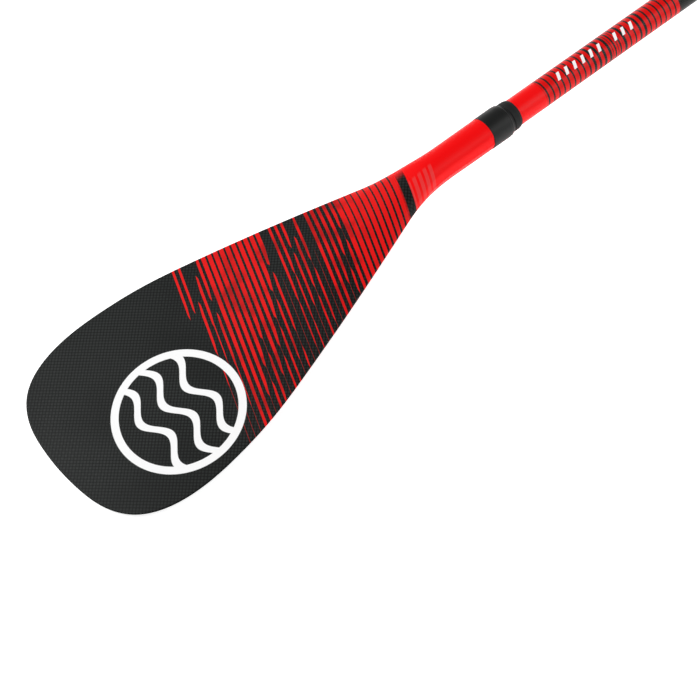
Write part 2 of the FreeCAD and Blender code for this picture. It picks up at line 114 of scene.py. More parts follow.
PAD_REACH, PAD_WRAP, PAD_BAR_R = 40.0, math.radians(56.0), 15.0
PAD_ROWS, PAD_COLUMNS = 121, 49
PAD_CORNER, PAD_ROUND, PAD_WELD = 8.0, 1.4, 0.001
PAD_UNDER, PAD_RIM, PAD_RISE = -1.0, -0.6, 1.7
PAD_RIB_STEP, PAD_RIB_HEIGHT, PAD_PLAIN_RIM = 5.0, 0.35, 3.0
STEM = [(1226.0, 14.6, 14.6), (1228.0, 14.9, 14.9), (1246.0, 15.3, 14.4), (1266.0, 18.5, 13.2),
        (1280.0, 24.0, 12.6), (1292.0, 31.0, 12.0), (1300.0, 33.0, 11.0)]


def smooth(value):
    value = np.clip(value, 0.0, 1.0)
    return value * value * (3.0 - 2.0 * value)


def spline(points, count):
    """Evenly spaced places along a smooth curve through the points."""
    points = np.asarray(points, float)
    steps = np.linalg.norm(np.diff(points, axis=0), axis=1)
    knots = np.concatenate([[0.0], np.cumsum(steps)])
    size = len(points)
    matrix = np.zeros((size, size))
    right = np.zeros_like(points)
    matrix[0, 0] = matrix[-1, -1] = 1.0
    for row in range(1, size - 1):
        before, after = steps[row - 1], steps[row]
        matrix[row, row - 1:row + 2] = before, 2.0 * (before + after), after
        slopes = (points[row] - points[row - 1]) / before, (points[row + 1] - points[row]) / after
        right[row] = 6.0 * (slopes[1] - slopes[0])
    bends = np.linalg.solve(matrix, right)
    at = knots[-1] * np.linspace(0.0, 1.0, count)
    cell = np.clip(np.searchsorted(knots, at, side="right") - 1, 0, size - 2)
    width = steps[cell][:, None]
    low = (knots[cell + 1] - at)[:, None] / width
    high = 1.0 - low
    straight = low * points[cell] + high * points[cell + 1]
    bulge = (low ** 3 - low) * bends[cell] + (high ** 3 - high) * bends[cell + 1]
    return straight + bulge * width ** 2 / 6.0


def centre_height(x):
    """The height of the blade's middle surface over the shaft's axis."""
    run = np.maximum(BEND_X - x, -BEND_ROUND)
    rounded = BEND_SLOPE * (run + BEND_ROUND) ** 2 / (4.0 * BEND_ROUND)
    drop = np.where(run < BEND_ROUND, rounded, BEND_SLOPE * run)
    return -drop - BLADE_SAG * (np.maximum(run, 0.0) / THIN_END) ** 2


def half_thickness(from_tip):
    share = np.clip(from_tip / THIN_END, 0.0, 1.0)
    return 1.0 + 3.0 * share + 13.0 * share ** 3.4


def crown_power(from_tip):
    return 0.5 + 0.9 * smooth((440.0 - from_tip) / 110.0)


def outline():
    """The blade's edge on the +Y side, from the tip to the neck, as (distance from the tip, half width)."""
    side = TIP_OUTLINE + BLADE_OUTLINE + NECK_OUTLINE
    mirrored = [(distance, -half) for distance, half in reversed(side)]
    whole = spline(mirrored + [(0.0, 0.0)] + side, 2 * OUTLINE_STEPS + 1)
    half = whole[OUTLINE_STEPS:]
    half[0] = 0.0
    return half


EDGE = outline()


def crown(x, y, from_edge):
    """Half the blade's thickness at a place, with its rim rounded."""
    from_tip = x - TIP_X
    side = np.interp(np.maximum(from_tip, WIDEST), EDGE[:, 0], EDGE[:, 1])
    side = side + MARGIN * (1.0 - smooth((from_tip - MARGIN_START) / MARGIN_LENGTH))
    share = np.clip(1.0 - (y / side) ** 2, 0.0, 1.0)
    rim = np.sqrt(1.0 - (1.0 - np.clip(from_edge / RIM_ROUND, 0.0, 1.0)) ** 2)
    body = (half_thickness(from_tip) - RIM_HALF) * share ** crown_power(from_tip)
    return (RIM_HALF + body * np.clip(from_edge / (2.0 * RIM_ROUND), 0.0, 1.0) ** 0.5) * rim


# ---- Meshes ----

def finish_mesh(mesh_data, name, angle=SHARP_ANGLE):
    """Puts a mesh in place, smooth but for its sharp edges."""
    bmesh.ops.recalc_face_normals(mesh_data, faces=mesh_data.faces)
    mesh_data.transform(SHAFT_FRAME)
    mesh = bpy.data.meshes.new(name)
    mesh_data.to_mesh(mesh)
    mesh_data.free()
    mesh.polygons.foreach_set("use_smooth", [True] * len(mesh.polygons))
    mesh.set_sharp_from_angle(angle=math.radians(angle))
    piece = bpy.data.objects.new(name, mesh)
    bpy.context.scene.collection.objects.link(piece)
    return piece


def dress(piece, material, body, slot, *replaced):
    """Gives the piece its material and its body, and hides the CAD nodes that it stands for. The slot is not
    used.
    """
    piece.data.materials.clear()
    piece.data.materials.append(material)
    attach(piece, body)
    if replaced:
        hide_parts(*replaced)
    return piece


def make_blade():
    """One closed laminate: rows run in from the rim to the spine on both faces, then down the socket."""
    rows = []
    inwards = np.cos(np.linspace(0.0, 0.5 * math.pi, INNER_STEPS + 1))[1:]
    for distance, half in EDGE:
        place = np.array([distance, half])
        spine = np.array([max(distance, FAN_CENTRE), 0.0])
        reach = max(np.linalg.norm(place - spine), 1e-6)
        steps = np.concatenate([RIM_STEPS, reach - (reach - RIM_STEPS[-1]) * inwards])
        rows.append((place[None, :] + (spine - place)[None, :] * (steps / reach)[:, None], steps))
    data = bmesh.new()
    for side in (1.0, -1.0):
        for face in (1.0, -1.0):
            grid = []
            for places, steps in rows:
                x = TIP_X + places[:, 0]
                y = side * places[:, 1]
                z = centre_height(x) + face * crown(x, y, steps)
                grid.append([data.verts.new(point) for point in zip(x, y, z)])
            for first, second in zip(grid, grid[1:]):
                for k in range(len(first) - 1):
                    data.faces.new((first[k], first[k + 1], second[k + 1], second[k]))
    bmesh.ops.remove_doubles(data, verts=data.verts, dist=WELD)
    loop = [edge for edge in data.edges if len(edge.link_faces) == 1]
    for radius, x in ((SOCKET_R + SOCKET_LIP, 0.0), (SOCKET_R, -SOCKET_LIP), (SOCKET_R, SOCKET_END)):
        grown = bmesh.ops.extrude_edge_only(data, edges=loop)["geom"]
        for vertex in [item for item in grown if isinstance(item, bmesh.types.BMVert)]:
            turn = math.atan2(vertex.co.z, vertex.co.y)
            vertex.co = (x, radius * math.cos(turn), radius * math.sin(turn))
        edges = [item for item in grown if isinstance(item, bmesh.types.BMEdge)]
        loop = [edge for edge in edges if len(edge.link_faces) == 1]
    centre = data.verts.new((SOCKET_END, 0.0, 0.0))
    for edge in loop:
        data.faces.new((edge.verts[0], edge.verts[1], centre))
    return finish_mesh(data, "blade_laminate")


def rounded(corners, steps=6):
    """A closed outline with round corners, from (a, b, radius)."""
    places = []
    count = len(corners)
    for k, (a, b, radius) in enumerate(corners):
        here = np.array([a, b])
        if radius <= 0.0:
            places.append(tuple(here))
            continue
        towards = [np.array(corners[(k + step) % count][:2]) - here for step in (-1, 1)]
        towards = [way / np.linalg.norm(way) for way in towards]
        half_angle = 0.5 * math.acos(float(np.clip(towards[0] @ towards[1], -1.0, 1.0)))
        bisector = towards[0] + towards[1]
        centre = here + bisector / np.linalg.norm(bisector) * radius / math.sin(half_angle)
        first, last = [here + way * radius / math.tan(half_angle) - centre for way in towards]
        start = math.atan2(first[1], first[0])
        sweep = math.atan2(last[1], last[0]) - start
        sweep = (sweep + math.pi) % (2.0 * math.pi) - math.pi
        for step in range(steps + 1):
            turn = start + sweep * step / steps
            places.append((centre[0] + radius * math.cos(turn), centre[1] + radius * math.sin(turn)))
    return places


def turned(name, corners, around=96):
    """A ring turned about the shaft's axis from its (x, radius, corner radius) outline."""
    places = rounded(corners)
    data = bmesh.new()
    rings = []
    for step in range(around):
        turn = 2.0 * math.pi * step / around
        across, up = math.cos(turn), math.sin(turn)
        rings.append([data.verts.new((x, radius * across, radius * up)) for x, radius in places])
    for first, second in zip(rings, rings[1:] + rings[:1]):
        for k in range(len(first)):
            after = (k + 1) % len(first)
            data.faces.new((first[k], first[after], second[after], second[k]))
    return finish_mesh(data, name)


def tube(name, outer, inner, start, end):
    """A tube with broken edges."""
    corners = [(start, outer), (end, outer), (end, inner), (start, inner)]
    return turned(name, [(*corner, TUBE_EDGE) for corner in corners], TUBE_SIDES)


def cut_hole(piece, x, radius, direction=(0.0, 0.0, -1.0)):
    """Drills a round hole through one side of the piece."""
    data = bmesh.new()
    way = Vector(direction)
    turn = way.to_track_quat("Z", "Y").to_matrix().to_4x4()
    place = Matrix.Translation(Vector((x, 0.0, 0.0)) + way * DRILL_CENTRE) @ turn
    bmesh.ops.create_cone(data, cap_ends=True, segments=DRILL_SIDES, radius1=radius, radius2=radius,
                          depth=DRILL_LENGTH, matrix=place)
    drill = finish_mesh(data, "drill")
    modifier = piece.modifiers.new("hole", "BOOLEAN")
    modifier.operation = "DIFFERENCE"
    modifier.solver = "EXACT"
    modifier.object = drill
    apply_modifiers(piece)
    bpy.data.objects.remove(drill)
    drilled = bmesh.new()
    drilled.from_mesh(piece.data)
    bmesh.ops.remove_doubles(drilled, verts=drilled.verts, dist=DRILL_WELD * MM)
    drilled.to_mesh(piece.data)
    drilled.free()
    piece.data.set_sharp_from_angle(angle=math.radians(SHARP_ANGLE))


def apply_modifiers(piece):
    """Replaces the piece's mesh by what its modifiers make of it."""
    bpy.context.view_layer.update()
    graph = bpy.context.evaluated_depsgraph_get()
    made = bpy.data.meshes.new_from_object(piece.evaluated_get(graph))
    piece.modifiers.clear()
    piece.data = made


def ring_of(data, centre, first, second, points=48):
    """The vertices of an ellipse with the given half axes."""
    turns = [2.0 * math.pi * step / points for step in range(points)]
    centre, first, second = Vector(centre), Vector(first), Vector(second)
    return [data.verts.new(centre + first * math.cos(turn) + second * math.sin(turn)) for turn in turns]


def loft(data, rings):
    """Joins rings of equally many vertices into a closed skin."""
    for first, second in zip(rings, rings[1:]):
        for k in range(len(first)):
            after = (k + 1) % len(first)
            data.faces.new((first[k], first[after], second[after], second[k]))
    data.faces.new(rings[0])
    data.faces.new(rings[-1])


def remesh(piece, voxel, rounds):
    """Softens the edges: rebuilds the surface from voxels of that many millimetres and smooths it."""
    remesher = piece.modifiers.new("remesh", "REMESH")
    remesher.mode = "VOXEL"
    remesher.voxel_size = voxel * MM
    smoother = piece.modifiers.new("smooth", "SMOOTH")
    smoother.factor = 0.5
    smoother.iterations = rounds
    apply_modifiers(piece)
    piece.data.polygons.foreach_set("use_smooth", [True] * len(piece.data.polygons))


def moulding(node, name, voxel, rounds):
    """A copy of a CAD part with the soft edges of a moulded one."""
    piece = bpy.data.objects.new(name, frame["nodes"][node].data.copy())
    bpy.context.scene.collection.objects.link(piece)
    remesh(piece, voxel, rounds)
    return piece


def reshape(piece, rule):
    """Moves the piece's vertices by a rule on their places in the shaft's frame."""
    places = np.array([vertex.co for vertex in piece.data.vertices], float).reshape(-1, 3)
    back = np.array(SHAFT_FRAME.inverted())
    forth = np.array(SHAFT_FRAME)
    local = places @ back[:3, :3].T + back[:3, 3]
    moved = rule(*local.T) @ forth[:3, :3].T + forth[:3, 3]
    piece.data.vertices.foreach_set("co", moved.astype(np.float32).ravel())
    piece.data.update()


def add_clamp_rings(x, y, z):
    """Fine grooves round the clamp's sleeve."""
    radius = np.hypot(y, z)
    zone = ((x > CLAMP_GROOVES[0]) & (x < CLAMP_GROOVES[1]) & (radius > CLAMP_SLEEVE_R)).astype(float)
    wave = np.maximum(np.cos(2.0 * math.pi * (x - CLAMP_GROOVES[0]) / CLAMP_GROOVE_PITCH), 0.0)
    share = 1.0 - zone * CLAMP_GROOVE_DEPTH * wave ** 2 / radius
    return np.stack([x, y * share, z * share], axis=1)


def add_lever_ribs(x, y, z):
    """A crowned back and finger ribs near the lever's free end."""
    radius = np.hypot(y, z)
    angle = np.degrees(np.arctan2(z, y))
    outer = np.clip(radius - LEVER_R, 0.0, 1.0)
    wave = np.maximum(np.sin(2.0 * math.pi * angle / LEVER_RIB_STEP), 0.0)
    ribs = ((angle > LEVER_RIBS[0]) & (angle < LEVER_RIBS[1])) * LEVER_RIB_HEIGHT * wave
    across = np.clip(np.abs(x - LEVER_MIDDLE) / LEVER_HALF_WIDTH, 0.0, 1.0)
    crowned = -LEVER_CROWN * across ** 3 * ((angle > LEVER_BACK[0]) & (angle < LEVER_BACK[1]))
    share = 1.0 + outer * (ribs * (across < LEVER_RIBBED_WIDTH) + crowned) / radius
    return np.stack([x, y * share, z * share], axis=1)


def bar_share(y):
    """How full the T-grip's bar is at a distance from its middle."""
    return max(1.0 - abs(y / BAR_REACH) ** BAR_SQUARENESS, 0.0) ** BAR_BLUNTNESS


def bar_centre(y):
    """Where the bar's middle line runs: its ends sweep back a little."""
    return BAR_X - BAR_SWEEP * (y / BAR_REACH) ** 2


def make_grip():
    """The T-grip's two moulded halves, split by a fine seam."""
    data = bmesh.new()
    rings = []
    for step in range(-BAR_STEPS, BAR_STEPS + 1):
        y = BAR_REACH * math.sin(0.5 * math.pi * step / BAR_STEPS)
        full = max(bar_share(y), BAR_TIP)
        rings.append(ring_of(data, (bar_centre(y), y, 0.0), (BAR_HALF_HEIGHT * full, 0, 0),
                             (0, 0, BAR_HALF_DEPTH * full)))
    loft(data, rings)
    loft(data, [ring_of(data, (x, 0, 0), (0, half_y, 0), (0, 0, half_z)) for x, half_y, half_z in STEM])
    whole = finish_mesh(data, "grip")
    remesh(whole, 1.0, 14)
    halves = []
    for name, side in (("grip_shell_front", 1.0), ("grip_shell_back", -1.0)):
        half = bmesh.new()
        half.from_mesh(whole.data)
        half.transform(SHAFT_FRAME.inverted())
        for height in SEAM_HEIGHTS:
            bmesh.ops.bisect_plane(half, geom=half.verts[:] + half.edges[:] + half.faces[:], dist=1e-4,
                                   plane_co=(0, 0, side * height), plane_no=(0, 0, side),
                                   clear_inner=height == SEAM_HEIGHTS[0])
        half.normal_update()
        for vertex in half.verts:
            depth = 1.0 - min(abs(vertex.co.z) / SEAM_HEIGHTS[-1], 1.0)
            inward = Vector((vertex.normal.x, vertex.normal.y, 0.0))
            if depth > 0.0 and inward.length > 0.1:
                vertex.co -= inward.normalized() * SEAM_DEPTH * depth
        rim = [edge for edge in half.edges if edge.is_boundary]
        bmesh.ops.holes_fill(half, edges=rim)
        halves.append(finish_mesh(half, name, 50.0))
    bpy.data.objects.remove(whole)
    return halves


def pad_lift(y, turn):
    """How far the pad's top stands off the bar: sunk at its rounded rim, then raised, with ribs across it."""
    sides = [PAD_REACH - abs(y), (PAD_WRAP - abs(turn)) * PAD_BAR_R]
    if min(sides) < 1e-6:
        return PAD_UNDER
    past_corner = math.hypot(*[max(PAD_CORNER - side, 0.0) for side in sides])
    from_rim = max(min(min(sides), PAD_CORNER - past_corner), 0.0)
    edge = math.sqrt(1.0 - (1.0 - min(from_rim / PAD_ROUND, 1.0)) ** 2)
    wave = max(math.cos(2.0 * math.pi * y / PAD_RIB_STEP), 0.0)
    rib = PAD_RIB_HEIGHT * wave * min(max(from_rim - PAD_PLAIN_RIM, 0.0) / 2.0, 1.0)
    return PAD_RIM + (PAD_RISE + rib) * edge


def make_pad():
    """The soft pad over the top of the grip's bar."""
    data = bmesh.new()
    grids = []
    for under in (False, True):
        grid = []
        for row in range(PAD_ROWS):
            y = PAD_REACH * (2.0 * row / (PAD_ROWS - 1) - 1.0)
            full = bar_share(y)
            line = []
            for column in range(PAD_COLUMNS):
                turn = PAD_WRAP * (2.0 * column / (PAD_COLUMNS - 1) - 1.0)
                across, up = math.cos(turn), math.sin(turn)
                lift = PAD_UNDER if under else pad_lift(y, turn)
                out = Vector((across / BAR_HALF_HEIGHT, 0.0, up / BAR_HALF_DEPTH)).normalized()
                x = bar_centre(y) + BAR_HALF_HEIGHT * full * across
                place = Vector((x, y, BAR_HALF_DEPTH * full * up))
                line.append(data.verts.new(place + out * lift))
            grid.append(line)
        grids.append(grid)
    for grid in grids:
        for row in range(PAD_ROWS - 1):
            for k in range(PAD_COLUMNS - 1):
                cell = [grid[row][k], grid[row][k + 1], grid[row + 1][k + 1], grid[row + 1][k]]
                if (row < PAD_ROWS // 2) != (k < PAD_COLUMNS // 2):
                    cell = cell[1:] + cell[:1]
                data.faces.new(cell[:3])
                data.faces.new((cell[0], cell[2], cell[3]))
    bmesh.ops.remove_doubles(data, verts=data.verts, dist=PAD_WELD)
    return finish_mesh(data, "grip_soft_pad")


# ---- Materials ----

class Signal:
    """A number running through a material's nodes. Arithmetic on it adds Math nodes."""

    def __init__(self, tree, source):
        self.tree = tree
        self.source = source

    def math(self, operation, *others):
        node = self.tree.nodes.new("ShaderNodeMath")
        node.operation = operation
        for socket, value in zip(node.inputs, (self,) + others):
            feed(self.tree, socket, value)
        return Signal(self.tree, node.outputs[0])

    def __add__(self, other):
        return self.math("ADD", other)

    def __sub__(self, other):
        return self.math("SUBTRACT", other)

    def __mul__(self, other):
        return self.math("MULTIPLY", other)

    def __truediv__(self, other):
        return self.math("DIVIDE", other)

    def __neg__(self):
        return self * -1.0

    def inverse(self):
        return (-self) + 1.0

    def rise(self, low, high, bottom=0.0, top=1.0):
        """Goes smoothly from bottom at low to top at high."""
        node = self.tree.nodes.new("ShaderNodeMapRange")
        node.interpolation_type = "SMOOTHSTEP"
        for socket, value in zip(node.inputs, (self, low, high, bottom, top)):
            feed(self.tree, socket, value)
        return Signal(self.tree, node.outputs[0])

    def within(self, low, high, soft=0.25):
        """1 between low and high, 0 outside."""
        return self.rise(low - soft, low + soft) * self.rise(high - soft, high + soft, 1.0, 0.0)

    def near(self, target, half, soft=0.25):
        """1 within half of the target."""
        return (self - target).math("ABSOLUTE").rise(half - soft, half + soft, 1.0, 0.0)

    def below(self, limit, soft=0.02):
        """1 where this is under the limit, which may be a signal."""
        return (self - limit).rise(-soft, soft, 1.0, 0.0)

    def either(self, other):
        return self.math("MAXIMUM", other)


def feed(tree, socket, value):
    """Sets a socket to a constant, or links a signal to it."""
    if isinstance(value, Signal):
        tree.links.new(value.source, socket)
    else:
        socket.default_value = value


def paint(red, green, blue):
    """A colour given as it looks on a screen, 0 to 255."""
    linear = []
    for part in (red, green, blue):
        share = part / 255.0
        linear.append(share / 12.92 if share <= 0.04045 else ((share + 0.055) / 1.055) ** 2.4)
    return (*linear, 1.0)


class Finish:
    """A material with the shaft's coordinates in millimetres as x, y and z."""

    def __init__(self, name, **constants):
        self.material = bpy.data.materials.new(name)
        self.material.use_nodes = True
        self.tree = self.material.node_tree
        self.shader = self.tree.nodes["Principled BSDF"]
        for socket, value in constants.items():
            self.shader.inputs[socket.replace("_", " ")].default_value = value
        coordinates = self.tree.nodes.new("ShaderNodeTexCoord")
        mapping = self.tree.nodes.new("ShaderNodeMapping")
        mapping.vector_type = "TEXTURE"
        mapping.inputs["Location"].default_value = ORIGIN
        mapping.inputs["Rotation"].default_value = TURN.to_euler()
        mapping.inputs["Scale"].default_value = (MM, MM, MM)
        self.tree.links.new(coordinates.outputs["Object"], mapping.inputs["Vector"])
        self.place = mapping.outputs["Vector"]
        split = self.tree.nodes.new("ShaderNodeSeparateXYZ")
        self.tree.links.new(self.place, split.inputs[0])
        self.x, self.y, self.z = [Signal(self.tree, output) for output in split.outputs]

    def mix(self, share, first, second):
        """The first colour where the share is 0, the second where it is 1."""
        node = self.tree.nodes.new("ShaderNodeMix")
        node.data_type = "RGBA"
        colours = [socket for socket in node.inputs if socket.type == "RGBA"]
        for socket, value in zip([node.inputs[0]] + colours, (share, first, second)):
            feed(self.tree, socket, value)
        return Signal(self.tree, [socket for socket in node.outputs if socket.type == "RGBA"][0])

    def noise(self, size, detail=2.0, stretch=None):
        """Noise from 0 to 1 with features about size millimetres across."""
        node = self.tree.nodes.new("ShaderNodeTexNoise")
        node.inputs["Scale"].default_value = 1.0 / size
        node.inputs["Detail"].default_value = detail
        place = self.place
        if stretch:
            squeeze = self.tree.nodes.new("ShaderNodeMapping")
            squeeze.inputs["Scale"].default_value = stretch
            self.tree.links.new(place, squeeze.inputs["Vector"])
            place = squeeze.outputs["Vector"]
        self.tree.links.new(place, node.inputs["Vector"])
        return Signal(self.tree, node.outputs[0])

    def weave(self, first, second, pitch):
        """A plain weave's crossings: -1 to 1, positive where the first set of tows is on top."""
        wave = math.pi / pitch
        return (first * wave).math("SINE") * (second * wave).math("SINE")

    def colour(self, value):
        feed(self.tree, self.shader.inputs["Base Color"], value)

    def roughness(self, value):
        feed(self.tree, self.shader.inputs["Roughness"], value)

    def bump(self, height, depth, strength=1.0):
        """Raises the surface by depth millimetres where the height is 1."""
        node = self.tree.nodes.new("ShaderNodeBump")
        node.inputs["Distance"].default_value = depth * MM
        node.inputs["Strength"].default_value = strength
        feed(self.tree, node.inputs["Height"], height)
        self.tree.links.new(node.outputs[0], self.shader.inputs["Normal"])


BLADE_RED = paint(232, 20, 20)
NECK_RED = paint(250, 6, 10)
PALE_RED = paint(238, 62, 62)
TOW_DARK = paint(11, 13, 12)
TOW_LIGHT = paint(40, 43, 42)
# The deeper red of the painted shade on the blade's red print.
SHADED_RED = paint(112, 12, 12)
RING_RED = paint(222, 8, 8)
WHITE = paint(255, 255, 255)
BLACK_PLASTIC = paint(8, 10, 9)

CLOUDINESS = 0.18
TOW = 3.1
TOWS_ROUND_SHAFT, TOWS_ROUND_EXTENSION = 32, 28

# Stripes, by their distance from the tip: they slant across the blade, and so do the lines that cut them off.
STRIPE_SLANT = 0.385
STRIPE_PITCH = 6.78
STRIPE_PHASE = 204.0
STRIPE_SOFT = 0.02
STRIPE_HALF_SHARES = 0.2, 0.34
STRIPE_HALF_SPAN = 110.0
CUT_SLANT, CUT_SOFT = 3.7, 7.0
HAIRLINES, HAIRLINE_HALF_SHARE = (181.0, 349.0), 0.022
# Painted shade: noise patches darken the blade's red print over this span towards a deeper red. The size and
# weight of the patches follow.
PAINTED_SHADE_SPAN, PAINTED_SHADE_SIZE, PAINTED_SHADE_WEIGHT = (195.0, 368.0), 24.0, 0.55
NECK_PRINT = 416.5
DARK_BAND = 418.0, 427.5
PALE_LINES = 427.0, 458.0
# Where stripes are printed: first and last distance from the tip, the two slanted cuts, and their weight.
STRIPE_FIELDS = [(167, 174, 165, 900, 0.55), (174, 181, 142, 900, 0.55), (181, 201, 66, 116, 0.65),
                 (181, 188, 30, 55, 0.3), (188, 194, 28, 68, 0.3), (194, 201, -8, 44, 0.65),
                 (194, 201, -50, -8, 0.3), (201, 214, -900, 900, 1.0), (214, 235, -126, 900, 1.05),
                 (221, 235, -195, -150, 0.85), (235, 268, -194, 900, 1.0), (241, 268, -268, -212, 0.65),
                 (262, 268, -308, -291, 0.6), (275, 295, -296, 900, 0.62), (275, 288, -346, -304, 0.45),
                 (289, 295, -361, -310, 0.6), (295, 309, -371, -321, 0.65), (282, 288, -378, -352, 0.4),
                 (295, 309, -437, -387, 0.6), (315, 329, -1900, 900, 0.85), (329, 349, -516, 900, 0.8),
                 (335, 349, -555, -537, 0.75), (342, 349, -900, -545, 0.95), (349, 470, -1900, 900, 1.32)]


# The emblem: a ring with waves across it, placed by its distance from the tip.
EMBLEM_PLACE, EMBLEM_Y, EMBLEM_R, EMBLEM_HALF_STROKE = 116.0, -32.0, 60.0, 3.8
WAVE_SPACING, WAVE_LENGTH, WAVE_HEIGHT, WAVE_COUNT = 27.0, 56.0, 7.0, 3

# The shaft's print: dark rings, thicker in some places, and a row of slanted marks in two groups.
RING_PHASE, RING_PITCH, RING_START = 78.0, 7.33, 74.0
RING_HALF_SHARE, RING_EXTRA_SHARE = 0.14, 0.09
THICK_RINGS = [(138.0, 168.0), (185.0, 192.0), (209.0, 223.0)]
DOUBLE_RINGS, DOUBLE_RING_HALF_SHARE = (166.0, 184.0), 0.06
BARE_CARBON, BARE_SLANT = 265.0, 0.3
MARK_START, MARK_PITCH, MARK_HALF, MARK_TURN = 100.0, 11.5, 1.9, -0.22
MARK_SLANT, MARK_REACH = 0.45, 4.3
MARK_STEPS, MARK_GAP = (-0.5, 9.5), (5.5, 6.5)

# The extension's scale: a tick every centimetre and a longer one every fifth.
SCALE_START, SCALE_END, SCALE_ZERO = 804.0, 1116.0, 810.0
TICK_STEP, TICK_HALF, TICK_TURN = 10.0, 0.35, 0.16
LONG_TICK_STEP, LONG_TICK_HALF, LONG_TICK_TURN = 50.0, 0.45, 0.34


def carbon(finish, weave, gloss=0.36):
    """Colours the finish as woven carbon under lacquer. Returns the colour."""
    over = weave.rise(-0.3, 0.3)
    tow = weave.math("ABSOLUTE").rise(0.0, 0.7)
    cloud = finish.noise(60.0).rise(0.3, 0.7, 0.0, 0.25)
    finish.roughness(over * 0.08 + cloud * 0.2 + gloss)
    light = tow * (over * 0.15 + 0.85) * finish.noise(110.0).rise(0.35, 0.65, 0.7, 1.2)
    return finish.mix(light, TOW_DARK, TOW_LIGHT)


def blade_finish():
    finish = Finish("blade_print", Specular_IOR_Level=0.1)
    x, y, z = finish.x, finish.y, finish.z
    distance = x - TIP_X
    weave = finish.weave((distance + y) * math.sqrt(0.5), (distance - y) * math.sqrt(0.5), TOW)
    base = carbon(finish, weave)

    along = distance - y * STRIPE_SLANT
    cut = y - (along - STRIPE_PHASE) * CUT_SLANT
    phase = ((along - STRIPE_PHASE) / STRIPE_PITCH + 0.5).math("FRACT")
    from_line = (phase - 0.5).math("ABSOLUTE")
    share = y.rise(-STRIPE_HALF_SPAN, STRIPE_HALF_SPAN, *STRIPE_HALF_SHARES)
    field = None
    for first, last, low, high, weight in STRIPE_FIELDS:
        window = along.within(first, last, 0.2) * cut.within(low, high, CUT_SOFT) * weight
        field = window if field is None else field.either(window)
    hairline = along.within(*HAIRLINES, 0.5) * y.rise(60.0, -20.0) * HAIRLINE_HALF_SHARE
    half_line = (share * field).either(hairline)
    stripes = from_line.below(half_line, STRIPE_SOFT) * half_line.rise(0.01, 0.03)
    neck = along.rise(NECK_PRINT, NECK_PRINT + 0.5)
    red = stripes.either(neck)
    # Painted shade: noise patches darken the red print in the blade's middle band and fade out towards the +Y
    # edge.
    painted_shade = finish.noise(PAINTED_SHADE_SIZE).rise(0.42, 0.68) * y.rise(85.0, 45.0) * along.within(*PAINTED_SHADE_SPAN, 14.0)
    printed = finish.mix(neck, finish.mix(painted_shade * PAINTED_SHADE_WEIGHT, BLADE_RED, SHADED_RED), NECK_RED)
    pale = neck * y.rise(-1.0, -5.0) * along.within(*PALE_LINES, 1.5) * from_line.below(0.3, 0.04)
    printed = finish.mix(pale * 0.8, printed, PALE_RED)
    dark_band = along.within(*DARK_BAND, 0.5) * y.rise(18.0, 4.0)
    lines = neck * (from_line - 0.42).rise(0.0, 0.04) * along.rise(432.0, 418.0) * y.rise(6.0, -4.0)
    red = red * dark_band.either(lines * 0.7).inverse()
    top = finish.mix(red, base, printed)

    centre = (x * -1.0 + BEND_X).math("MAXIMUM", 0.0)
    centre = centre * -BEND_SLOPE - (centre / THIN_END).math("POWER", 2.0) * BLADE_SAG
    power_side = (z - centre).rise(0.0, 0.4)
    emblem = emblem_mask(distance, y) * power_side
    finish.colour(finish.mix(emblem, top, WHITE))
    covered = red.either(emblem)
    thread = weave.math("ABSOLUTE").math("POWER", 0.6) * covered.rise(0.0, 1.0, 1.0, 0.25)
    finish.bump(thread, 0.05, 0.6)
    return finish.material


def emblem_mask(distance, y):
    """A plain ring with waves in it."""
    along = distance - EMBLEM_PLACE
    across = y - EMBLEM_Y
    radius = (along * along + across * across).math("SQRT")
    ring = radius.near(EMBLEM_R, EMBLEM_HALF_STROKE)
    wave = along + (across * (2.0 * math.pi / WAVE_LENGTH)).math("SINE") * WAVE_HEIGHT
    line = ((wave / WAVE_SPACING + 0.5).math("FRACT") - 0.5) * WAVE_SPACING
    waves = line.math("ABSOLUTE").rise(EMBLEM_HALF_STROKE - 0.25, EMBLEM_HALF_STROKE + 0.25, 1.0, 0.0)
    last = 0.5 * WAVE_COUNT * WAVE_SPACING
    waves = waves * wave.math("ABSOLUTE").rise(last - 1.0, last, 1.0, 0.0)
    return ring.either(waves * radius.rise(EMBLEM_R, EMBLEM_R + 0.3, 1.0, 0.0))


def round_weave(finish, radius, tows):
    """The weave of a tube, laid at 45 degrees, with that many tows each way round it."""
    around = finish.y.math("ARCTAN2", finish.z) * radius
    pitch = 2.0 * math.pi * radius * math.sqrt(0.5) / tows
    return finish.weave((finish.x + around) * math.sqrt(0.5), (finish.x - around) * math.sqrt(0.5), pitch)


